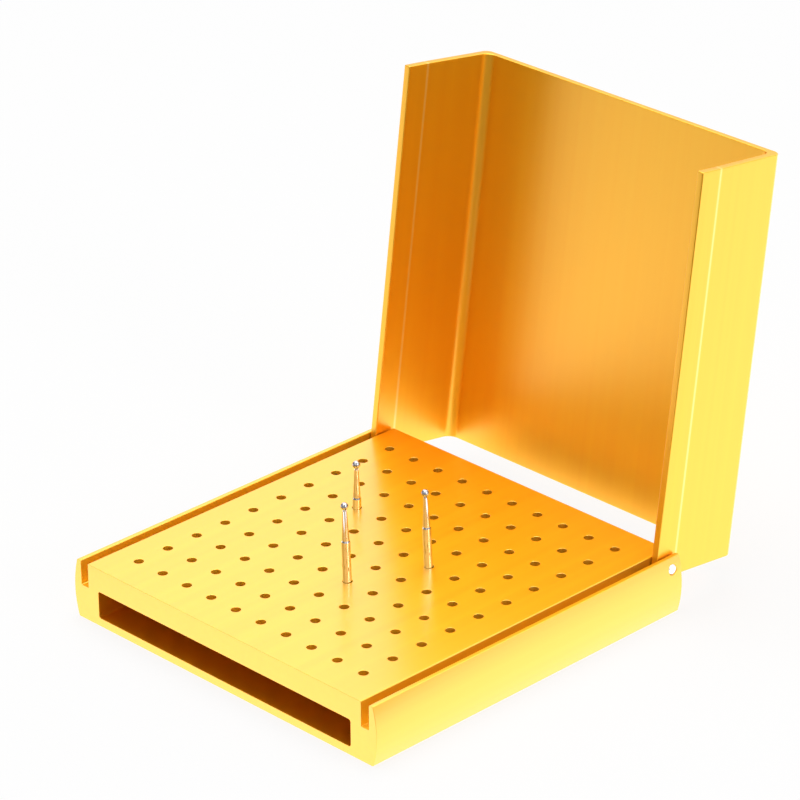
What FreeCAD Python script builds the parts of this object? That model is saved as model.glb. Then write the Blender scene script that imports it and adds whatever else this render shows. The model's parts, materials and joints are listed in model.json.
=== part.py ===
import FreeCAD, Part
import math
import os

import Sketcher
from FreeCAD import Vector

# Bur holder box, in millimetres.
# The origin is the centre of the base's bottom face: +X runs to the right of the user,
# +Y to the hinge at the rear, +Z up. The lid stands open, resting on its stop.

doc = FreeCAD.newDocument("BurHolderBox")

# Driving dimensions: name, millimetres, what it measures.
SIZES = [
    ("block_width", 70.0, "drilled block, from slot to slot"),
    ("base_length", 76.8, "base, from front to rear"),
    ("base_height", 11.6, "base, from table to drilled face"),
    ("plate_thickness", 4.65, "drilled plate above the tunnel"),
    ("floor_thickness", 1.65, "floor below the tunnel, on which the burs stand"),
    ("tunnel_side_wall", 2.6, "wall between the tunnel and a slot"),
    ("tunnel_corner", 0.5, "radius of the tunnel's four corners"),
    ("slot_width", 1.9, "slot that takes the lid's side wall"),
    ("slot_depth", 4.85, "slot, below the drilled face"),
    ("slot_corner", 0.3, "radius at the foot of the slot's outer wall"),
    ("rim_thickness", 0.95, "rim outside the slot, at its top"),
    ("bulge_height", 0.9, "rise of the rounded outer side"),
    ("edge_round", 0.2, "softened long edges of the base"),
    ("foot_round", 0.4, "softened bottom edges of the base"),
    ("hole_clearance", 0.1, "radial play of a shank in its hole"),
    ("hole_left_margin", 5.8, "left slot to the first column of holes"),
    ("hole_right_margin", 6.6, "last column of holes to the right slot"),
    ("hole_front_margin", 7.1, "front face to the first row of holes"),
    ("hole_rear_margin", 6.7, "last row of holes to the rear face"),
    ("pin_diameter", 2.0, "hinge pin"),
    ("pin_depth", 2.2, "hinge axis, below the drilled face"),
    ("pin_inset", 2.2, "hinge axis, in from the rear face"),
    ("pin_seat", 2.0, "length of pin that is pressed into the block"),
    ("pin_chamfer", 0.2, "chamfer at the pin's outer end"),
    ("lid_setback", 0.05, "closed lid's front end, behind the base's front face"),
    ("lid_wall", 1.4, "lid, thickness of the panel and of the side walls"),
    ("lid_lean_width", 0.55, "how far a side wall leans in, from crease to panel"),
    ("lid_end_reach", 2.25, "hinge axis to the lid's hinge end"),
    ("lid_outer_round", 1.6, "outer radius between panel and side wall"),
    ("lid_inner_round", 1.9, "inner radius between panel and side wall"),
    ("tongue_clearance", 0.2, "closed lid's free edge above the slot's floor"),
    ("stop_clearance", 0.08, "open lid's end off the slot's floor"),
    ("pin_clearance", 0.05, "radial play of the lid on its pins"),
    ("tip_clearance", 0.25, "closed lid above the longest bur"),
    ("shank_diameter", 1.6, "friction-grip shank"),
    ("shank_foot", 0.25, "chamfer at the shank's foot"),
    ("shoulder_length", 0.3, "bevel between the shank and its taper"),
    ("taper_foot", 1.36, "taper's diameter above the bevel"),
    ("taper_tip", 0.78, "taper's diameter at the head"),
    ("taper_length", 5.7, "taper, from the bevel to the head"),
    ("neck_length", 0.3, "waist below the ball head"),
    ("neck_diameter", 0.6, "waist below the ball head"),
    ("long_bur", 25.3, "long bur, overall"),
    ("short_bur", 19.6, "short bur, overall"),
    ("small_head", 1.4, "ball head of the long burs"),
    ("large_head", 1.5, "ball head of the short bur"),
    ("flute_depth", 0.16, "depth of a head's flutes"),
    ("flute_width", 0.3, "mouth of a head's flutes"),
    ("lean_clearance", 0.02, "leaning shank off its hole's edges and off the tunnel's floor"),
]

HOLE_COLUMNS = 10
HOLE_ROWS = 10
FLUTES = 8
FLUTE_SLANT = 14.0      # degrees that a flute leans from the bur's axis
FLUTE_TO_TIP = 76.0     # degrees of a flute above the ball's equator
FLUTE_TO_WAIST = 55.0   # degrees of a flute below it

# Burs: name, column from the left, row from the front, length, head, and the way that it leans,
# in degrees from the user's right towards the hinge.
BURS = [
    ("front_bur", 6, 4, "Sizes.long_bur", "Sizes.small_head", 173),
    ("right_bur", 7, 6, "Sizes.long_bur", "Sizes.small_head", 225),
    ("back_bur", 3, 7, "Sizes.short_bur", "Sizes.large_head", 315),
]

sheet = doc.addObject("Spreadsheet::Sheet", "Sizes")
for line, (alias, millimetres, note) in enumerate(SIZES, 1):
    sheet.set(f"A{line}", alias)
    sheet.set(f"B{line}", str(millimetres))
    sheet.setAlias(f"B{line}", alias)
    sheet.set(f"C{line}", note)
doc.recompute()

# Places worked out from the driving dimensions.
BLOCK_SIDE = "Sizes.block_width / 2"
SLOT_SIDE = f"{BLOCK_SIDE} + Sizes.slot_width"
RIM_SIDE = f"{SLOT_SIDE} + Sizes.rim_thickness"
HALF_LENGTH = "Sizes.base_length / 2"
SLOT_FLOOR = "Sizes.base_height - Sizes.slot_depth"
SIDE_RADIUS = "(Sizes.base_height^2 / 4 + Sizes.bulge_height^2) / (2 * Sizes.bulge_height)"
TUNNEL_SIDE = f"{BLOCK_SIDE} - Sizes.tunnel_side_wall"
TUNNEL_ROOF = "Sizes.base_height - Sizes.plate_thickness"
COLUMN_PITCH = (
    "(Sizes.block_width - Sizes.hole_left_margin - Sizes.hole_right_margin)"
    f" / {HOLE_COLUMNS - 1}"
)
ROW_PITCH = (
    "(Sizes.base_length - Sizes.hole_front_margin - Sizes.hole_rear_margin)"
    f" / {HOLE_ROWS - 1}"
)
HOLE_RADIUS = "Sizes.shank_diameter / 2 + Sizes.hole_clearance"
FIRST_COLUMN = f"Sizes.hole_left_margin - {BLOCK_SIDE}"
FIRST_ROW = f"Sizes.hole_front_margin - {HALF_LENGTH}"
PIN_Y = f"{HALF_LENGTH} - Sizes.pin_inset"
PIN_Z = "Sizes.base_height - Sizes.pin_depth"
PIN_FACE = (
    f"{RIM_SIDE} + Sizes.bulge_height - {SIDE_RADIUS}"
    f" + sqrt(({SIDE_RADIUS})^2 - ({PIN_Z} - Sizes.base_height / 2)^2)"
)
PIN_TO_SLOT_FLOOR = "(Sizes.slot_depth - Sizes.pin_depth)"
# The open lid's end comes to rest on the rear end of the slot's floor.
OPEN_ANGLE = (
    "90 deg + acos((Sizes.lid_end_reach + Sizes.stop_clearance)"
    f" / sqrt({PIN_TO_SLOT_FLOOR}^2 + Sizes.pin_inset^2))"
    f" - atan(Sizes.pin_inset / {PIN_TO_SLOT_FLOOR})"
)
# The lid is drawn closed, about its hinge axis.
LID_OUTSIDE = f"{BLOCK_SIDE} + (Sizes.slot_width + Sizes.lid_wall) / 2"
LID_INSIDE = f"{BLOCK_SIDE} + (Sizes.slot_width - Sizes.lid_wall) / 2"
LID_EDGE = f"Sizes.tongue_clearance - {PIN_TO_SLOT_FLOOR}"
LID_CREASE = f"{LID_EDGE} + Sizes.slot_depth"
LID_CEILING = f"Sizes.floor_thickness + Sizes.long_bur + Sizes.tip_clearance - ({PIN_Z})"
LID_TOP = f"{LID_CEILING} + Sizes.lid_wall"
# A loose bur leans until its shank meets both edges of its hole.
BUR_LEAN = "atan(2 * (Sizes.hole_clearance - Sizes.lean_clearance) / Sizes.plate_thickness)"
FOOT_RADIUS = "(Sizes.shank_diameter / 2 - Sizes.shank_foot)"
FOOT_LEVEL = f"(Sizes.floor_thickness + Sizes.lean_clearance + {FOOT_RADIUS} * sin({BUR_LEAN}))"
PLATE_MIDDLE = "(Sizes.base_height - Sizes.plate_thickness / 2)"


def worth(expression):
    """Work out an expression of the sheet's sizes."""
    return float(sheet.evalExpression(expression))


def new_body(name):
    """Start a body, whose label names its file."""
    body = doc.addObject("PartDesign::Body", name)
    body.Label = name
    return body


def origin_plane(body, role):
    """Find one of the body's own origin planes."""
    return next(feature for feature in body.Origin.OriginFeatures if feature.Role == role)


def new_sketch(body, role, name):
    """Start a sketch on one of the body's own origin planes."""
    sketch = body.newObject("Sketcher::SketchObject", name)
    sketch.AttachmentSupport = [(origin_plane(body, role), "")]
    sketch.MapMode = "FlatFace"
    return sketch


def bind_point(sketch, curve, end, across, up):
    """Hold one end of a curve, or a circle's centre, at two expressions."""
    for kind, expression in (("DistanceX", across), ("DistanceY", up)):
        held = Sketcher.Constraint(kind, -1, 1, curve, end, worth(expression))
        number = sketch.addConstraint(held)
        sketch.setExpression(f"Constraints[{number}]", expression)


def bind_radius(sketch, curve, expression):
    """Hold the radius of an arc or circle at an expression."""
    number = sketch.addConstraint(Sketcher.Constraint("Radius", curve, worth(expression)))
    sketch.setExpression(f"Constraints[{number}]", expression)


def arc_between(start, end, radius):
    """Make the arc that runs counter-clockwise from start to end."""
    half = (end - start) / 2
    sideways = Vector(-half.y, half.x, 0).normalize()
    centre = start + half + sideways * (radius**2 - half.Length**2) ** 0.5
    from_centre = [point - centre for point in (start, end)]
    angles = [Vector(1, 0, 0).getAngle(arm) * (1 if arm.y >= 0 else -1) for arm in from_centre]
    circle = Part.Circle(centre, Vector(0, 0, 1), radius)
    return Part.ArcOfCircle(circle, angles[0], angles[1])


def draw_outline(sketch, corners):
    """Close an outline through corners, counter-clockwise, each a pair of expressions.

    A third expression makes the stretch after that corner an arc of that radius.
    """
    points = [Vector(worth(corner[0]), worth(corner[1]), 0) for corner in corners]
    curves = []
    for corner, start, end in zip(corners, points, points[1:] + points[:1]):
        if len(corner) == 3:
            curve = sketch.addGeometry(arc_between(start, end, worth(corner[2])))
        else:
            curve = sketch.addGeometry(Part.LineSegment(start, end))
        curves.append(curve)
    for curve, following in zip(curves, curves[1:] + curves[:1]):
        sketch.addConstraint(Sketcher.Constraint("Coincident", curve, 2, following, 1))
    for curve, corner in zip(curves, corners):
        bind_point(sketch, curve, 1, corner[0], corner[1])
        if len(corner) == 3:
            bind_radius(sketch, curve, corner[2])


def draw_circle(sketch, across, up, radius):
    """Draw a circle whose centre and radius are expressions."""
    centre = Vector(worth(across), worth(up), 0)
    circle = Part.Circle(centre, Vector(0, 0, 1), worth(radius))
    curve = sketch.addGeometry(circle)
    bind_point(sketch, curve, 3, across, up)
    bind_radius(sketch, curve, radius)


def mirrored(corners):
    """Give corners on the left, in reverse order, for corners on the right."""
    return [(f"-({across})", up) for across, up in reversed(corners)]


def edges_through(feature, direction, places):
    """Name the feature's straight edges that run along direction through the places."""
    near = 0.01
    names = []
    for number, edge in enumerate(feature.Shape.Edges, 1):
        if not isinstance(edge.Curve, Part.Line):
            continue
        along = edge.Curve.Direction
        start = edge.Vertexes[0].Point
        parallel = abs(abs(along.dot(direction)) - 1) < 1e-6
        if parallel and any(place.distanceToLine(start, direction) < near for place in places):
            names.append(f"Edge{number}")
    return names


def round_edges(body, name, direction, places, radius):
    """Round the body's edges that run along direction through the places."""
    doc.recompute()
    base = body.Tip
    fillet = body.newObject("PartDesign::Fillet", name)
    fillet.Base = (base, edges_through(base, direction, places))
    fillet.setExpression("Radius", radius)


def pad_both_ways(body, sketch, name, forward, backward):
    """Extrude a sketch by two lengths, along and against its normal."""
    pad = body.newObject("PartDesign::Pad", name)
    pad.Profile = sketch
    pad.SideType = "Two sides"
    pad.setExpression("Length", forward)
    pad.setExpression("Length2", backward)


def revolve(body, sketch, name):
    """Turn a sketch once round its vertical axis."""
    turned = body.newObject("PartDesign::Revolution", name)
    turned.Profile = sketch
    turned.ReferenceAxis = (sketch, ["V_Axis"])
    turned.Angle = 360


def line_pattern(body, name, axis, pitch, copies):
    """Set up one direction of a grid."""
    pattern = body.newObject("PartDesign::LinearPattern", name)
    pattern.Direction = axis
    pattern.Mode = "Spacing"
    pattern.setExpression("Offset", pitch)
    pattern.Occurrences = copies
    return pattern


def cut_pattern_tip(body, pattern, originals):
    """Make a pattern of cuts the body's latest feature."""
    pattern.Originals = originals
    body.Tip = pattern


# Base


def make_base():
    """The extruded base: tunnel, two slots, rounded sides, drilled plate, pin bores."""
    body = new_body("base")

    # One extrusion gives the outline, both slots and the tunnel.
    profile = new_sketch(body, "XZ_Plane", "base_profile")
    right_side = [
        (RIM_SIDE, "0", SIDE_RADIUS),
        (RIM_SIDE, "Sizes.base_height"),
        (SLOT_SIDE, "Sizes.base_height"),
        (SLOT_SIDE, SLOT_FLOOR),
        (BLOCK_SIDE, SLOT_FLOOR),
        (BLOCK_SIDE, "Sizes.base_height"),
    ]
    left_side = mirrored([corner[:2] for corner in right_side])
    left_side[-2] += (SIDE_RADIUS,)
    draw_outline(profile, right_side + left_side)
    tunnel = [(TUNNEL_SIDE, "Sizes.floor_thickness"), (TUNNEL_SIDE, TUNNEL_ROOF)]
    draw_outline(profile, tunnel + mirrored(tunnel))
    pad_both_ways(body, profile, "base_extrusion", HALF_LENGTH, HALF_LENGTH)

    lengthwise = Vector(0, 1, 0)
    height = worth("Sizes.base_height")
    tops = [worth(side) for side in (RIM_SIDE, SLOT_SIDE, BLOCK_SIDE)]
    top_edges = [Vector(side * x, 0, height) for x in tops for side in (-1, 1)]
    round_edges(body, "base_top_edges", lengthwise, top_edges, "Sizes.edge_round")
    slot_feet = [Vector(side * worth(SLOT_SIDE), 0, worth(SLOT_FLOOR)) for side in (-1, 1)]
    round_edges(body, "slot_feet", lengthwise, slot_feet, "Sizes.slot_corner")
    feet = [Vector(side * worth(RIM_SIDE), 0, 0) for side in (-1, 1)]
    round_edges(body, "base_feet", lengthwise, feet, "Sizes.foot_round")
    tunnel_corners = [
        Vector(side * worth(TUNNEL_SIDE), 0, worth(level))
        for side in (-1, 1)
        for level in ("Sizes.floor_thickness", TUNNEL_ROOF)
    ]
    round_edges(body, "tunnel_corners", lengthwise, tunnel_corners, "Sizes.tunnel_corner")

    drill_bur_holes(body)
    drill_pin_bores(body)


def drill_bur_holes(body):
    """Drill the first hole through the plate into the tunnel and repeat it as a grid."""
    start = new_sketch(body, "XY_Plane", "bur_hole_circle")
    start.setExpression("AttachmentOffset.Base.z", "Sizes.base_height")
    draw_circle(start, FIRST_COLUMN, FIRST_ROW, HOLE_RADIUS)
    hole = body.newObject("PartDesign::Pocket", "bur_hole")
    hole.Profile = start
    into_tunnel = "Sizes.plate_thickness + Sizes.base_height - Sizes.floor_thickness"
    hole.setExpression("Length", f"({into_tunnel}) / 2")
    columns = line_pattern(body, "bur_hole_columns", (start, ["H_Axis"]), COLUMN_PITCH, HOLE_COLUMNS)
    rows = line_pattern(body, "bur_hole_rows", (start, ["V_Axis"]), ROW_PITCH, HOLE_ROWS)
    grid = body.newObject("PartDesign::MultiTransform", "bur_hole_grid")
    grid.Transformations = [columns, rows]
    cut_pattern_tip(body, grid, [hole])


def drill_pin_bores(body):
    """Drill a blind bore through each rim, across its slot and into the block."""
    start = new_sketch(body, "YZ_Plane", "pin_bore_circle")
    start.setExpression("AttachmentOffset.Base.z", f"{BLOCK_SIDE} - Sizes.pin_seat")
    draw_circle(start, PIN_Y, PIN_Z, "Sizes.pin_diameter / 2")
    bore = body.newObject("PartDesign::Pocket", "right_pin_bore")
    bore.Profile = start
    bore.Type = "ThroughAll"
    bore.Reversed = True
    both = body.newObject("PartDesign::Mirrored", "pin_bores")
    both.MirrorPlane = (origin_plane(body, "YZ_Plane"), [""])
    cut_pattern_tip(body, both, [bore])


# Hinge pins


def make_hinge_pin(name, side):
    """A plain steel pin, pressed into the base, its outer end flush with the rim."""
    body = new_body(name)
    profile = new_sketch(body, "XZ_Plane", f"{name}_profile")
    reach = f"({PIN_FACE} - ({BLOCK_SIDE} - Sizes.pin_seat))"
    radius = "Sizes.pin_diameter / 2"
    draw_outline(profile, [
        ("0", "0"),
        (radius, "0"),
        (radius, f"{reach} - Sizes.pin_chamfer"),
        (f"{radius} - Sizes.pin_chamfer", reach),
        ("0", reach),
    ])
    revolve(body, profile, f"{name}_turned")
    body.Placement = FreeCAD.Placement(Vector(), FreeCAD.Rotation(Vector(0, 1, 0), side * 90))
    body.setExpression("Placement.Base.x", f"{side} * ({BLOCK_SIDE} - Sizes.pin_seat)")
    body.setExpression("Placement.Base.y", PIN_Y)
    body.setExpression("Placement.Base.z", PIN_Z)


# Lid


def make_lid():
    """The extruded lid: a panel and two side walls, drawn closed about the hinge axis."""
    body = new_body("lid")
    profile = new_sketch(body, "XZ_Plane", "lid_profile")
    right_outside = [
        (LID_INSIDE, LID_EDGE),
        (LID_OUTSIDE, LID_EDGE),
        (LID_OUTSIDE, LID_CREASE),
        (f"{LID_OUTSIDE} - Sizes.lid_lean_width", LID_TOP),
    ]
    right_inside = [
        (f"{LID_INSIDE} - Sizes.lid_lean_width", LID_CEILING),
        (LID_INSIDE, LID_CREASE),
    ]
    outside = right_outside + mirrored(right_outside)
    inside = mirrored(right_inside) + right_inside
    draw_outline(profile, outside + inside)
    lid_front = "Sizes.base_length - Sizes.pin_inset - Sizes.lid_setback"
    pad_both_ways(body, profile, "lid_extrusion", lid_front, "Sizes.lid_end_reach")

    lengthwise = Vector(0, 1, 0)
    outer = worth(f"{LID_OUTSIDE} - Sizes.lid_lean_width")
    outer_corners = [Vector(side * outer, 0, worth(LID_TOP)) for side in (-1, 1)]
    round_edges(body, "lid_outer_corners", lengthwise, outer_corners, "Sizes.lid_outer_round")
    inner = worth(f"{LID_INSIDE} - Sizes.lid_lean_width")
    inner_corners = [Vector(side * inner, 0, worth(LID_CEILING)) for side in (-1, 1)]
    round_edges(body, "lid_inner_corners", lengthwise, inner_corners, "Sizes.lid_inner_round")
    # The hinge end of each free edge is rounded, to turn inside the slot.
    hinge_corner = Vector(0, worth("Sizes.lid_end_reach"), worth(LID_EDGE))
    round_edges(body, "lid_hinge_corners", Vector(1, 0, 0), [hinge_corner], "Sizes.lid_end_reach")

    bore_circle = new_sketch(body, "YZ_Plane", "lid_bore_circle")
    draw_circle(bore_circle, "0", "0", "Sizes.pin_diameter / 2 + Sizes.pin_clearance")
    bores = body.newObject("PartDesign::Pocket", "lid_bores")
    bores.Profile = bore_circle
    bores.SideType = "Symmetric"
    bores.Type = "ThroughAll"

    body.Placement = FreeCAD.Placement(Vector(), FreeCAD.Rotation(Vector(1, 0, 0), 90))
    body.setExpression("Placement.Rotation.Angle", f"-({OPEN_ANGLE})")
    body.setExpression("Placement.Base.y", PIN_Y)
    body.setExpression("Placement.Base.z", PIN_Z)


# Burs


def place_bur(body, column, row, way, height):
    """Put a body's origin at a height on the axis of a bur, which leans in its hole."""
    across, ahead = math.cos(math.radians(way)), math.sin(math.radians(way))
    leaning = FreeCAD.Rotation(Vector(-ahead, across, 0), worth(BUR_LEAN))
    body.Placement = FreeCAD.Placement(Vector(), leaning)
    body.setExpression("Placement.Rotation.Angle", BUR_LEAN)
    off_centre = f"(({height}) * sin({BUR_LEAN}) - ({PLATE_MIDDLE} - {FOOT_LEVEL}) * tan({BUR_LEAN}))"
    hole_across = f"{FIRST_COLUMN} + {column - 1} * {COLUMN_PITCH}"
    hole_ahead = f"{FIRST_ROW} + {row - 1} * {ROW_PITCH}"
    body.setExpression("Placement.Base.x", f"{hole_across} + {across:.6f} * {off_centre}")
    body.setExpression("Placement.Base.y", f"{hole_ahead} + {ahead:.6f} * {off_centre}")
    body.setExpression("Placement.Base.z", f"{FOOT_LEVEL} + ({height}) * cos({BUR_LEAN})")


def make_shank(name, column, row, length, head, way):
    """The steel shank, with its taper: what is below the carbide head."""
    body = new_body(f"{name}_shank")
    profile = new_sketch(body, "XZ_Plane", f"{name}_shank_profile")
    radius = "Sizes.shank_diameter / 2"
    ball_rise = f"sqrt(({head})^2 - Sizes.neck_diameter^2) / 2"
    taper_top = f"({length} - ({head}) / 2 - {ball_rise} - Sizes.neck_length)"
    taper_bottom = f"{taper_top} - Sizes.taper_length"
    draw_outline(profile, [
        ("0", "0"),
        (f"{radius} - Sizes.shank_foot", "0"),
        (radius, "Sizes.shank_foot"),
        (radius, f"{taper_bottom} - Sizes.shoulder_length"),
        ("Sizes.taper_foot / 2", taper_bottom),
        ("Sizes.taper_tip / 2", taper_top),
        ("0", taper_top),
    ])
    revolve(body, profile, f"{name}_shank_turned")
    place_bur(body, column, row, way, "0")


def make_head(name, column, row, length, head, way):
    """The carbide head: a short waist and a ball with slanting flutes."""
    body = new_body(f"{name}_head")
    profile = new_sketch(body, "XZ_Plane", f"{name}_head_profile")
    waist = "Sizes.neck_diameter / 2"
    ball_rise = f"sqrt(({head})^2 - Sizes.neck_diameter^2) / 2"
    draw_outline(profile, [
        ("0", f"-({ball_rise}) - Sizes.neck_length"),
        (waist, f"-({ball_rise}) - Sizes.neck_length"),
        (waist, f"-({ball_rise})", f"{head} / 2"),
        ("0", f"{head} / 2"),
    ])
    revolve(body, profile, f"{name}_head_turned")

    # A saw-tooth notch swings over the ball, from the waist to near the tip.
    notch = new_sketch(body, "XY_Plane", f"{name}_notch")
    slant = FreeCAD.Rotation(Vector(1, 0, 0), FLUTE_SLANT)
    notch.AttachmentOffset = FreeCAD.Placement(Vector(), slant)
    bottom = f"{head} / 2 - Sizes.flute_depth"
    mouth = f"{head} / 2 + Sizes.flute_depth"
    draw_outline(notch, [(bottom, "0"), (mouth, "0"), (mouth, "2 * Sizes.flute_width")])
    flute = body.newObject("PartDesign::Groove", f"{name}_flute")
    flute.Profile = notch
    flute.ReferenceAxis = (notch, ["V_Axis"])
    flute.Type = "TwoAngles"
    flute.Angle = FLUTE_TO_TIP
    flute.Angle2 = FLUTE_TO_WAIST
    flutes = body.newObject("PartDesign::PolarPattern", f"{name}_flutes")
    flutes.Axis = (profile, ["V_Axis"])
    flutes.Angle = 360
    flutes.Occurrences = FLUTES
    cut_pattern_tip(body, flutes, [flute])

    place_bur(body, column, row, way, f"{length} - ({head}) / 2")


def check(item):
    """Stop if an object failed, or a body's solid is missing or broken."""
    if "Invalid" in item.State or "Error" in item.State:
        raise RuntimeError(f"{item.Label} failed: {item.State}")
    if item.TypeId == "PartDesign::Body" and (item.Shape.isNull() or not item.Shape.isValid()):
        raise RuntimeError(f"{item.Label} has no valid solid")


make_base()
make_hinge_pin("hinge_pin_left", -1)
make_hinge_pin("hinge_pin_right", 1)
make_lid()
for bur in BURS:
    make_shank(*bur)
    make_head(*bur)
doc.recompute()

for item in doc.Objects:
    check(item)

os.makedirs("parts", exist_ok=True)
for body in doc.findObjects("PartDesign::Body"):
    body.Shape.exportStep(f"parts/{body.Label}.step")
    print(body.Label, "volume", round(body.Shape.Volume, 2), "solids", len(body.Shape.Solids))
print("lid opens by", round(worth(OPEN_ANGLE), 3), "degrees")
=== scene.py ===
# %% [markdown]
# # A bur holder box in gold-anodised aluminium
# The real box is two lengths of aluminium extrusion: a base drilled with a hundred holes, and a lid that
# turns on two short steel pins. Three round burs stand in the holes. The solids come measured and in place,
# so no shape is made anew here: this lesson gives the solids softened edges, their finishes and a small
# studio. Everything is in metres, as the solids are.

# %% Load the measured solids
import json
import math

import bpy
from mathutils import Euler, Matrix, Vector


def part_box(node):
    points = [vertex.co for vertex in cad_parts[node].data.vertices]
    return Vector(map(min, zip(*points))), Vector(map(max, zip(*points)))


MM = 0.001
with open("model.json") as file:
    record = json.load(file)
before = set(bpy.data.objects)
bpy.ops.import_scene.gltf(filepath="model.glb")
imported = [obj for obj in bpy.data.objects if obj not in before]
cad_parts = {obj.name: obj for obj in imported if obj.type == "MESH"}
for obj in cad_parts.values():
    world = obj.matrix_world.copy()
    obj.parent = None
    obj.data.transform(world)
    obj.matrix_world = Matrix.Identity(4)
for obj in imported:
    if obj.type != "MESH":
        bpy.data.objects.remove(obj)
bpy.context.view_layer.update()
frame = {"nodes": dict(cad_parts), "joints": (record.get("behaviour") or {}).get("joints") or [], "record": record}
nodes = frame["nodes"]
print("solids:", ", ".join(sorted(nodes)))

# %% [markdown]
# ## The camera
# The picture was taken from the box's front right corner, from well above it and from far off, because its
# parallel edges hardly draw together. A camera could be matched by eye, but edges this straight show a small
# error at once, so its place and turn were worked out from the corners of the box. A long lens then frames
# it, and it needs no shift. The turn is counted from looking straight down.

# %% Set the camera
CAMERA_PLACE = (0.4834, -0.4691, 0.3699)
CAMERA_TURN_DEGREES = (64.09, 0.44, 45.29)
CAMERA_LENS = 191.5
CAMERA_FRAME_WIDTH = 36.0  # in mm, as the lens is
CAMERA_NEAREST = 0.01

camera = bpy.data.objects.new("photo_camera", bpy.data.cameras.new("photo_camera"))
camera.data.lens = CAMERA_LENS
camera.data.sensor_width = CAMERA_FRAME_WIDTH
camera.data.clip_start = CAMERA_NEAREST
camera.location = CAMERA_PLACE
camera.rotation_euler = Euler([math.radians(turn) for turn in CAMERA_TURN_DEGREES])
bpy.context.scene.collection.objects.link(camera)
bpy.context.scene.camera = camera
bpy.context.scene.view_settings.view_transform = "Standard"
print("camera stands", round(Vector(CAMERA_PLACE).length / MM), "mm from the box")

# %% [markdown]
# ## Writing a finish down
# Every finish below is a small network of shader nodes. They could be placed one by one, but that takes many
# lines for each. Three helpers keep it readable: one starts a finish, one adds a node and sets or joins its
# inputs in a single call, and one does the same for the shader that is there already.


# %% Helpers for finishes
def start_finish(name):
    """Start a finish, and give it with its node tree and its shader."""
    finish = bpy.data.materials.new(name)
    finish.use_nodes = True
    return finish, finish.node_tree, finish.node_tree.nodes["Principled BSDF"]


def add_node(tree, kind, inputs=(), **settings):
    """Add a node. An input that is another node's output is joined, any other is set."""
    node = tree.nodes.new(kind)
    for setting, value in settings.items():
        setattr(node, setting, value)
    for socket, value in dict(inputs).items():
        if isinstance(value, bpy.types.NodeSocket):
            tree.links.new(value, node.inputs[socket])
        else:
            node.inputs[socket].default_value = value
    return node


def set_shader(tree, shader, **inputs):
    """Set or join the shader's inputs, whose names are written with underscores."""
    for name, value in inputs.items():
        socket = shader.inputs[name.replace("_", " ")]
        if isinstance(value, bpy.types.NodeSocket):
            tree.links.new(value, socket)
        else:
            socket.default_value = value


print("helpers ready")

# %% [markdown]
# ## The studio
# Shiny metal shows what stands around it, so it is usually photographed on a white table in a white tent. The
# metal shows the tent and looks bright and clean, and its reflections of itself give the deep orange parts. A
# real tent isn't even: it is dimmer at its foot, below its lamps, and on the side away from them, and it is
# dark where it stands open towards the room. That shows in the metal as soft shading, so every level of light
# here fades along a fixed direction of the studio. A level may also differ for the camera, which should see
# plain white, for shiny surfaces, and for matt ones.


# %% Helpers for light
def seen_by(tree, camera_value, shiny_value, matt_value):
    """Give one value to camera rays, one to rays from shiny or clear surfaces, and one to the rest."""
    ray = add_node(tree, "ShaderNodeLightPath")
    shiny = add_node(tree, "ShaderNodeMath",
                     {0: ray.outputs["Is Glossy Ray"], 1: ray.outputs["Is Transmission Ray"]},
                     operation="MAXIMUM")
    value = add_node(tree, "ShaderNodeMix", {"Factor": shiny.outputs[0], "A": matt_value, "B": shiny_value})
    return add_node(tree, "ShaderNodeMix",
                    {"Factor": ray.outputs["Is Camera Ray"], "A": value.outputs[0],
                     "B": camera_value}).outputs[0]


def fading(tree, level, place, way, near, far, share):
    """Fade a level to a share of itself, as a place or direction reaches from near to far along a way."""
    reach = add_node(tree, "ShaderNodeVectorMath", {0: place, 1: way}, operation="DOT_PRODUCT")
    kept = add_node(tree, "ShaderNodeMapRange",
                    {"Value": reach.outputs["Value"], "From Min": near, "From Max": far, "To Min": 1.0,
                     "To Max": share}, interpolation_type="SMOOTHSTEP")
    return add_node(tree, "ShaderNodeMath", {0: level, 1: kept.outputs[0]}, operation="MULTIPLY").outputs[0]


print("light helpers ready")

# %% [markdown]
# The tent could be built from white sheets with lamps behind them. As the world's colour it renders faster
# and without noise. It lights matt surfaces with less than plain white, to leave room for the lamps.

# %% Hang the white tent
WHITE = (1.0, 1.0, 1.0, 1.0)
PLAIN_WHITE = 1.0  # the strength at which white is just white
TENT_ON_MATT = 0.5
TENT_ON_METAL = 1.65
TENT_FOOT_ON_METAL = 0.5
TENT_FRONT_LEFT_ON_METAL = 0.6
ROOM_ON_METAL = 0.15
DOWN = (0.0, 0.0, -1.0)
TOWARDS_FRONT_LEFT = (-0.7, -0.72, 0.0)
TOWARDS_ROOM = (0.72, -0.7, 0.0)
# Each fade starts and ends at these reaches of a direction that is 1 long.
TENT_FOOT_FADE = (-0.42, -0.2)
TENT_FRONT_LEFT_FADE = (0.4, 0.8)
TENT_ROOM_FADE = (0.75, 0.95)

world = bpy.data.worlds.new("white_tent")
world.use_nodes = True
bpy.context.scene.world = world
tree = world.node_tree
direction = add_node(tree, "ShaderNodeTexCoord").outputs["Generated"]
tent = tree.nodes["Background"]
tent.inputs["Color"].default_value = WHITE
level = TENT_ON_METAL
for way, fade, dim_level in ((DOWN, TENT_FOOT_FADE, TENT_FOOT_ON_METAL),
                             (TOWARDS_FRONT_LEFT, TENT_FRONT_LEFT_FADE, TENT_FRONT_LEFT_ON_METAL),
                             (TOWARDS_ROOM, TENT_ROOM_FADE, ROOM_ON_METAL)):
    level = fading(tree, level, direction, way, *fade, dim_level / TENT_ON_METAL)
strength = seen_by(tree, PLAIN_WHITE, level, TENT_ON_MATT)
tree.links.new(strength, tent.inputs["Strength"])
print("tent lights matt surfaces at", TENT_ON_MATT, "and metal at", TENT_ON_METAL)

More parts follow.
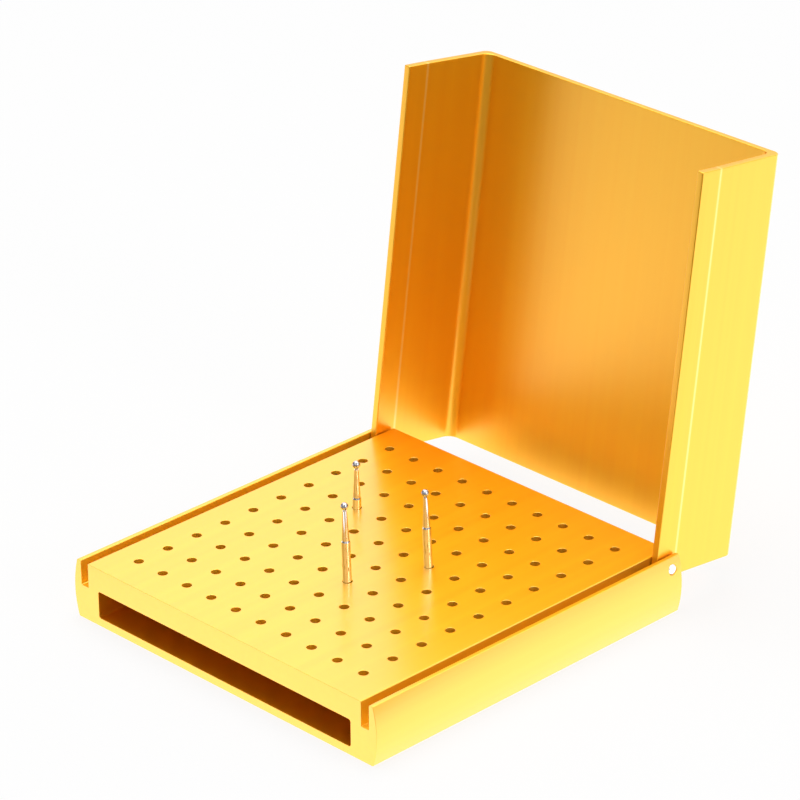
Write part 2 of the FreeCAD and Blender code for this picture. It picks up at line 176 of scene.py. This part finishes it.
# %% [markdown]
# The table is a large matt sheet. It could be bent up behind the box as a backdrop, but a flat one that turns
# white needs no horizon. A camera ray sees it partly as plain white, so that it meets the white background
# without a seam, and partly as the matt sheet, which keeps the soft shadow that the box throws. The metal
# sees it at its own level, brightest beside the box.

# %% Lay the table
TABLE_HALF_WIDTH = 3.0
TABLE_COLOUR = (0.86, 0.86, 0.86, 1.0)
TABLE_WHITE_TO_CAMERA = 0.85  # the share that is plain light and not the matt sheet
TABLE_WHITE_TO_METAL = 0.95
TABLE_ON_METAL = 1.95
TABLE_FRONT_LEFT_ON_METAL = 1.5
TABLE_FRONT_LEFT_FADE = (0.065, 0.1)  # in metres from the middle of the box
TABLE_ROOM_FADE = (0.056, 0.085)

mesh = bpy.data.meshes.new("table")
corners = [(x * TABLE_HALF_WIDTH, y * TABLE_HALF_WIDTH, 0) for x, y in ((-1, -1), (1, -1), (1, 1), (-1, 1))]
mesh.from_pydata(corners, [], [(0, 1, 2, 3)])
table = bpy.data.objects.new("table", mesh)
bpy.context.scene.collection.objects.link(table)

finish, tree, shader = start_finish("table_sheet")
tree.nodes.remove(shader)
matt = add_node(tree, "ShaderNodeBsdfDiffuse", {"Color": TABLE_COLOUR})
place = add_node(tree, "ShaderNodeNewGeometry").outputs["Position"]
level = TABLE_ON_METAL
for way, fade, dim_level in ((TOWARDS_FRONT_LEFT, TABLE_FRONT_LEFT_FADE, TABLE_FRONT_LEFT_ON_METAL),
                             (TOWARDS_ROOM, TABLE_ROOM_FADE, ROOM_ON_METAL)):
    level = fading(tree, level, place, way, *fade, dim_level / TABLE_ON_METAL)
strength = seen_by(tree, PLAIN_WHITE, level, 0.0)
white = add_node(tree, "ShaderNodeEmission", {"Color": WHITE, "Strength": strength})
share = seen_by(tree, TABLE_WHITE_TO_CAMERA, TABLE_WHITE_TO_METAL, 0.0)
mixed = add_node(tree, "ShaderNodeMixShader", {0: share, 1: matt.outputs[0], 2: white.outputs[0]})
tree.links.new(mixed.outputs[0], tree.nodes["Material Output"].inputs["Surface"])
mesh.materials.append(finish)
print("table is", 2 * TABLE_HALF_WIDTH, "m wide")

# %% [markdown]
# Three softboxes hang in the tent. The large one above gives the shadow its place right under the box. The
# one at the front right reaches a little into the bores and slots, whose walls face it, and the one at the
# right brightens the round shanks. They could be small lamps, but their shadows would be hard, and all of
# these are big beside the box.


# %% Hang the softboxes
SOFTBOX_AIM = Vector((0, 0.01, 0.03))  # near the middle of the open box


def hang_softbox(name, place, size, watts):
    """Hang a square lamp that points at the box."""
    lamp = bpy.data.lights.new(name, "AREA")
    lamp.size = size
    lamp.energy = watts
    holder = bpy.data.objects.new(name, lamp)
    holder.location = place
    aim = SOFTBOX_AIM - holder.location
    holder.rotation_euler = aim.to_track_quat("-Z", "Y").to_euler()
    bpy.context.scene.collection.objects.link(holder)
    print(name, "hung,", watts, "W")


hang_softbox("softbox_above", place=(-0.15, 0.1, 1.2), size=0.9, watts=9.5)
hang_softbox("softbox_front_right", place=(0.8, -0.75, 0.4), size=0.3, watts=0.4)
hang_softbox("softbox_right", place=(1.0, 0.0, 0.5), size=0.3, watts=1.5)

# %% [markdown]
# ## Softened edges
# An extrusion comes out of its die with slightly rounded corners, and the cut ends and drilled mouths are
# deburred. The solids have the long rounded corners already. The fine bevel of the rest could be cut into the
# solids too, but as modifiers it leaves the measured meshes alone. First the flat faces are joined up again,
# because a bevel needs whole faces and not triangles, then the sharp edges are bevelled, and at the end the
# large faces are told to stay flat in the shading. The base's bevel is finer, because a wide one would fold
# between the many holes of its plate.


# %% Soften the sharp edges
SAME_CORNER = 0.001 * MM
FLAT_DEGREES = 0.5
SHARP_DEGREES = 32
BEVEL_STEPS = 2
EDGE_WIDTHS = {
    "base": 0.07 * MM,
    "lid": 0.18 * MM,
    "hinge_pin_left": 0.04 * MM,
    "hinge_pin_right": 0.04 * MM,
}


def soften_edges(node, width):
    """Bevel a solid's sharp edges with modifiers, which leave its own mesh alone."""
    weld = node.modifiers.new("join_corners", "WELD")
    weld.merge_threshold = SAME_CORNER
    flatten = node.modifiers.new("join_flat_faces", "DECIMATE")
    flatten.decimate_type = "DISSOLVE"
    flatten.angle_limit = math.radians(FLAT_DEGREES)
    bevel = node.modifiers.new("fine_bevel", "BEVEL")
    bevel.width = width
    bevel.segments = BEVEL_STEPS
    bevel.limit_method = "ANGLE"
    bevel.angle_limit = math.radians(SHARP_DEGREES)
    bevel.use_clamp_overlap = False
    flat = node.modifiers.new("flat_faces", "WEIGHTED_NORMAL")
    flat.keep_sharp = False
    for face in node.data.polygons:
        face.use_smooth = True


for name, width in EDGE_WIDTHS.items():
    soften_edges(nodes[name], width)
print("bevelled:", ", ".join(EDGE_WIDTHS))

# %% [markdown]
# ## Gold anodising
# Anodising grows a clear, hard skin on aluminium, and a dye inside the skin gives the gold. A plain orange
# metal would come near, but it would lack the paler sheen of the skin. So the shader is metal in the dye's
# colour under a clear coat. The metal keeps the fine lines of the extrusion die, which run along each piece,
# a fine grain from blasting, and broad streaks where the dye took unevenly. One function makes the finish for
# both extrusions. The lid's lines are tipped up with it, and its sheen is the softer one.


# %% Gold anodising
GOLD_LIGHT = (1.0, 0.55, 0.012, 1.0)
GOLD_DEEP = (0.97, 0.47, 0.006, 1.0)
SHEEN_TINT = (1.0, 0.7, 0.2, 1.0)
METAL_SHARE = 0.85
NOISE_LOW = 0.3  # noise hardly goes past these two
NOISE_HIGH = 0.7
UNEVEN_ROUGHNESS = 0.02  # more or less than the middle value
DIE_LINE_HEIGHT = 0.0015 * MM
GRAIN_HEIGHT = 0.001 * MM
BUMP_STRENGTH = 0.3


def gold_anodising(name, lean_degrees, metal_roughness, coat_roughness, coat_ior):
    """Make gold anodising whose lines run front to rear, tipped up by an angle about the hinge's direction."""
    finish, tree, shader = start_finish(name)
    place = add_node(tree, "ShaderNodeTexCoord").outputs["Object"]
    along = add_node(tree, "ShaderNodeVectorRotate",
                     {"Vector": place, "Axis": (1, 0, 0), "Angle": math.radians(lean_degrees)})

    def lines(across_mm, along_mm, detail):
        scale = (1 / (across_mm * MM), 1 / (along_mm * MM), 1 / (across_mm * MM))
        stretched = add_node(tree, "ShaderNodeVectorMath", {0: along.outputs[0], 1: scale},
                             operation="MULTIPLY")
        noise = add_node(tree, "ShaderNodeTexNoise",
                         {"Vector": stretched.outputs[0], "Scale": 1.0, "Detail": detail})
        return noise.outputs["Fac"]

    streaks = lines(across_mm=1.6, along_mm=140, detail=2.0)
    die_lines = lines(across_mm=0.22, along_mm=18, detail=3.0)
    grain = lines(across_mm=0.3, along_mm=0.3, detail=2.0)

    colour = add_node(tree, "ShaderNodeMix", {"Factor": streaks, 6: GOLD_DEEP, 7: GOLD_LIGHT},
                      data_type="RGBA")
    roughness = add_node(tree, "ShaderNodeMapRange",
                         {"Value": streaks, "From Min": NOISE_LOW, "From Max": NOISE_HIGH,
                          "To Min": metal_roughness - UNEVEN_ROUGHNESS,
                          "To Max": metal_roughness + UNEVEN_ROUGHNESS})
    lined = add_node(tree, "ShaderNodeBump",
                     {"Height": die_lines, "Strength": BUMP_STRENGTH, "Distance": DIE_LINE_HEIGHT})
    etched = add_node(tree, "ShaderNodeBump",
                      {"Height": grain, "Strength": BUMP_STRENGTH, "Distance": GRAIN_HEIGHT,
                       "Normal": lined.outputs[0]})
    set_shader(tree, shader, Metallic=METAL_SHARE, Base_Color=colour.outputs[2],
               Roughness=roughness.outputs[0], Normal=etched.outputs[0], Specular_IOR_Level=0.0,
               Specular_Tint=SHEEN_TINT, Coat_Weight=1.0, Coat_IOR=coat_ior, Coat_Roughness=coat_roughness)
    return finish


lid_joint = next(joint for joint in frame["joints"] if joint["child"] == "lid")
lid_lean = lid_joint["range_deg"][1]
base_gold = gold_anodising("gold_anodising_base", lean_degrees=0.0, metal_roughness=0.44,
                           coat_roughness=0.22, coat_ior=1.75)
lid_gold = gold_anodising("gold_anodising_lid", lean_degrees=lid_lean, metal_roughness=0.42,
                          coat_roughness=0.3, coat_ior=1.52)
print("the lid's lines are tipped up by", lid_lean, "degrees")

# %% [markdown]
# Along the crease where a side wall of the lid starts to lean in, a fine paler line is painted into the gold as a
# painted highlight, standing in for the light that the slightly rounded crease catches. It could be a strip of its
# own, but it has no thickness, so the colour changes there instead. It is drawn by height above the hinge, as if
# the lid were closed, because the crease is level then.


# %% The painted highlight along the lid's crease
# painted highlight: a paler gold along the crease, standing in for the light that a rounded crease catches
GOLD_PAINTED_CREASE_HIGHLIGHT = (1.0, 0.72, 0.22, 1.0)
CREASE_ABOVE_HINGE_MM = 2.4
CREASE_HALF_WIDTH_MM = 0.4


def recolour(finish, share, gold):
    """Mix another colour into the finish's colour by a share that varies over the piece, which paints light or
    shade into it.
    """
    tree = finish.node_tree
    socket = tree.nodes["Principled BSDF"].inputs["Base Color"]
    colour = add_node(tree, "ShaderNodeMix", {"Factor": share, 6: socket.links[0].from_socket, 7: gold},
                      data_type="RGBA")
    tree.links.new(colour.outputs[2], socket)


tree = lid_gold.node_tree
place = add_node(tree, "ShaderNodeTexCoord").outputs["Object"]
from_hinge = add_node(tree, "ShaderNodeVectorMath", {0: place, 1: lid_joint["pos_m"]},
                      operation="SUBTRACT")
closed = add_node(tree, "ShaderNodeVectorRotate",
                  {"Vector": from_hinge.outputs[0], "Axis": (1, 0, 0), "Angle": math.radians(lid_lean)})
height = add_node(tree, "ShaderNodeSeparateXYZ", {0: closed.outputs[0]}).outputs[2]
above = add_node(tree, "ShaderNodeMath", {0: height, 1: CREASE_ABOVE_HINGE_MM * MM}, operation="SUBTRACT")
away = add_node(tree, "ShaderNodeMath", {0: above.outputs[0]}, operation="ABSOLUTE")
# the painted highlight's share: 1 on the crease, 0 half a width away
crease_highlight = add_node(tree, "ShaderNodeMapRange",
                {"Value": away.outputs[0], "From Max": CREASE_HALF_WIDTH_MM * MM, "To Min": 1.0,
                 "To Max": 0.0})
# paint the highlight into the lid's colour
recolour(lid_gold, crease_highlight.outputs[0], GOLD_PAINTED_CREASE_HIGHLIGHT)
print("crease line", 2 * CREASE_HALF_WIDTH_MM, "mm wide")

# %% [markdown]
# The base's hidden walls differ from its outside as well. In the narrow bores and slots the gold is painted
# lighter, as painted light that brightens their shaded walls, and light that bounces from wall to wall doesn't
# turn as brown. The walls could get a material of their own, but then a hundred bores' faces would have to be
# found first. A box in space round the drilled area picks them all out at once. It ends just under the plate's
# top, so that the plate keeps its own colour.


# %% Painted light: lighter gold in the bores
# painted light: the shaded walls of the bores and slots are coloured a lighter gold
GOLD_PAINTED_RECESS_LIGHT = (1.0, 0.65, 0.05, 1.0)
BORE_MARGIN_MM = (1.5, 1.5, 3.0)  # round the middles of the outermost bores
BELOW_PLATE_MM = 0.02


def inside_box(tree, low, high):
    """Give 1 at places of the piece that are inside a box, and 0 outside it."""
    place = add_node(tree, "ShaderNodeTexCoord").outputs["Object"]
    middle = (low + high) / 2
    moved = add_node(tree, "ShaderNodeVectorMath", {0: place, 1: middle}, operation="SUBTRACT")
    reach = add_node(tree, "ShaderNodeVectorMath", {0: moved.outputs[0]}, operation="ABSOLUTE")
    spare = add_node(tree, "ShaderNodeVectorMath", {0: high - middle, 1: reach.outputs[0]},
                     operation="SUBTRACT")
    sides = add_node(tree, "ShaderNodeSeparateXYZ", {0: spare.outputs[0]}).outputs
    least = add_node(tree, "ShaderNodeMath", {0: sides[0], 1: sides[1]}, operation="MINIMUM")
    least = add_node(tree, "ShaderNodeMath", {0: least.outputs[0], 1: sides[2]}, operation="MINIMUM")
    return add_node(tree, "ShaderNodeMath", {0: least.outputs[0], 1: 0.0}, operation="GREATER_THAN").outputs[0]


tree = base_gold.node_tree
bores = {mount["name"]: Vector(mount["pos_m"]) for mount in frame["record"]["mounts"]
         if mount["kind"] == "bore"}
base_low, base_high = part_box("base")
drilled_low = bores["first_bur_hole"] - Vector(BORE_MARGIN_MM) * MM
drilled_high = bores["last_bur_hole"] + Vector(BORE_MARGIN_MM) * MM
drilled_high.z = base_high.z - BELOW_PLATE_MM * MM
drilled = inside_box(tree, drilled_low, drilled_high)
# paint the light into the bores' walls
recolour(base_gold, drilled, GOLD_PAINTED_RECESS_LIGHT)
drilled_size = [round(side / MM, 1) for side in drilled_high - drilled_low]
print("lighter gold in the drilled area, in mm:", drilled_size)

# %% [markdown]
# A drill leaves fine rings in a bore. Real grooves would be far finer than the facets of the solids, so they
# are noise in the height of the surface that changes with depth only.

# %% Drill rings in the bores
RING_SPACING_MM = 0.08
RING_DEPTH_MM = 0.01

socket = tree.nodes["Principled BSDF"].inputs["Normal"]
place = add_node(tree, "ShaderNodeTexCoord").outputs["Object"]
rings = add_node(tree, "ShaderNodeVectorMath", {0: place, 1: (0, 0, 1 / (RING_SPACING_MM * MM))},
                 operation="MULTIPLY")
marks = add_node(tree, "ShaderNodeTexNoise", {"Vector": rings.outputs[0], "Scale": 1.0, "Detail": 1.0})
ringed = add_node(tree, "ShaderNodeBump",
                  {"Height": marks.outputs["Fac"], "Strength": drilled, "Distance": RING_DEPTH_MM * MM,
                   "Normal": socket.links[0].from_socket})
tree.links.new(ringed.outputs[0], socket)
print("drill rings", RING_DEPTH_MM, "mm deep")

# %% [markdown]
# The two slots for the lid's side walls get the same painted light, the lighter gold of the bores. The tunnel is
# the other way round: it is long and low, and its walls get a darker, deeper gold as painted shade, so that they
# look deep brown from outside. The same kind of box picks each of them out.

# %% Painted light in the slots, painted shade in the tunnel
SLOT_MIDDLE_MM = 35.95
SLOT_HALF_WIDTH_MM = 0.98
SLOT_FLOOR_MM = 6.0
SLOT_MARGIN_MM = 0.1  # kept clear of the front end and of the top
# painted shade: a darker gold for the tunnel's walls
GOLD_PAINTED_TUNNEL_SHADE = (0.9, 0.38, 0.004, 1.0)
TUNNEL_HALF_WIDTH_MM = 32.5
TUNNEL_FLOOR_MM = 1.0
TUNNEL_ROOF_MM = 7.0
TUNNEL_END_MARGIN_MM = 0.3  # so that the front face keeps its colour

for side in (-1, 1):
    slot_low = Vector((side * SLOT_MIDDLE_MM * MM - SLOT_HALF_WIDTH_MM * MM,
                       base_low.y + SLOT_MARGIN_MM * MM, SLOT_FLOOR_MM * MM))
    slot_high = Vector((side * SLOT_MIDDLE_MM * MM + SLOT_HALF_WIDTH_MM * MM,
                        base_high.y, base_high.z - SLOT_MARGIN_MM * MM))
    # paint the light into the slot's walls
    recolour(base_gold, inside_box(tree, slot_low, slot_high), GOLD_PAINTED_RECESS_LIGHT)

tunnel_low = Vector((-TUNNEL_HALF_WIDTH_MM * MM, base_low.y + TUNNEL_END_MARGIN_MM * MM, TUNNEL_FLOOR_MM * MM))
tunnel_high = Vector((TUNNEL_HALF_WIDTH_MM * MM, base_high.y, TUNNEL_ROOF_MM * MM))
# paint the shade into the tunnel's walls
recolour(base_gold, inside_box(tree, tunnel_low, tunnel_high), GOLD_PAINTED_TUNNEL_SHADE)
print("lighter gold in 2 slots, duller gold in the tunnel")

# %% [markdown]
# ## Bright steel and carbide
# The pins were parted off in a lathe, so their ends carry fine rings. The shanks are ground round and
# polished, with fainter rings, and the ball heads are carbide, a darker metal, brazed on. Their flutes are in
# the solids. The rings could be cut as grooves, but they are finer than a facet, so they too are noise in the
# height of the surface, round an axis on a pin's end and along a shank.


# %% Helpers for steel
ROUGHNESS_LOW_SHARE = 0.85  # of the middle roughness, on one side of a ring
ROUGHNESS_HIGH_SHARE = 1.2
RING_STRENGTH = 0.5


def ring_marks(tree, centre, axis, spacing_mm):
    """Give noise in rings about a point, across the plane of the axis, or along the axis of a shaft."""
    place = add_node(tree, "ShaderNodeTexCoord").outputs["Object"]
    moved = add_node(tree, "ShaderNodeVectorMath", {0: place, 1: centre}, operation="SUBTRACT")
    if axis == "X":
        flat = add_node(tree, "ShaderNodeVectorMath", {0: moved.outputs[0], 1: (0, 1, 1)},
                        operation="MULTIPLY")
        reach = add_node(tree, "ShaderNodeVectorMath", {0: flat.outputs[0]}, operation="LENGTH")
        rings = add_node(tree, "ShaderNodeCombineXYZ", {"X": reach.outputs["Value"]})
    else:
        rings = add_node(tree, "ShaderNodeVectorMath", {0: moved.outputs[0], 1: (0, 0, 1)},
                         operation="MULTIPLY")
    return add_node(tree, "ShaderNodeTexNoise",
                    {"Vector": rings.outputs[0], "Scale": 1 / (spacing_mm * MM), "Detail": 2.0})


def bright_steel(name, colour, roughness, centre, axis, spacing_mm, depth_mm):
    """Make polished steel with ring marks."""
    finish, tree, shader = start_finish(name)
    rings = ring_marks(tree, centre, axis, spacing_mm)
    uneven = add_node(tree, "ShaderNodeMapRange",
                      {"Value": rings.outputs["Fac"], "From Min": NOISE_LOW, "From Max": NOISE_HIGH,
                       "To Min": roughness * ROUGHNESS_LOW_SHARE, "To Max": roughness * ROUGHNESS_HIGH_SHARE})
    bump = add_node(tree, "ShaderNodeBump",
                    {"Height": rings.outputs["Fac"], "Strength": RING_STRENGTH, "Distance": depth_mm * MM})
    set_shader(tree, shader, Metallic=1.0, Base_Color=colour, Roughness=uneven.outputs[0],
               Normal=bump.outputs[0])
    return finish


print("steel helpers ready")

# %% [markdown]
# Each steel or carbide piece gets a finish of its own, because a pin's rings lie round its own middle. The
# two golds are shared out with them, and every solid then has just one finish.

# %% Give every piece its finish
PIN_STEEL = (0.88, 0.88, 0.89, 1.0)
SHANK_STEEL = (0.76, 0.74, 0.72, 1.0)
CARBIDE = (0.52, 0.52, 0.55, 1.0)
ORIGIN = (0, 0, 0)

finishes = {"base": base_gold, "lid": lid_gold}
for name in ("hinge_pin_left", "hinge_pin_right"):
    low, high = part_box(name)
    finishes[name] = bright_steel(name + "_steel", PIN_STEEL, roughness=0.3, centre=(low + high) / 2,
                                  axis="X", spacing_mm=0.12, depth_mm=0.002)
for name in sorted(nodes):
    if name.endswith("_shank"):
        finishes[name] = bright_steel(name + "_steel", SHANK_STEEL, roughness=0.1, centre=ORIGIN,
                                      axis="Z", spacing_mm=0.1, depth_mm=0.0008)
    if name.endswith("_head"):
        finishes[name] = bright_steel(name + "_carbide", CARBIDE, roughness=0.22, centre=ORIGIN,
                                      axis="Z", spacing_mm=0.06, depth_mm=0.0005)
for name, finish in finishes.items():
    nodes[name].data.materials.clear()
    nodes[name].data.materials.append(finish)
print("finished:", ", ".join(finishes))

# %% [markdown]
# ## Closing up
# Softened edges and new finishes must not change the real size.

# %% Close up
print("scene ready")
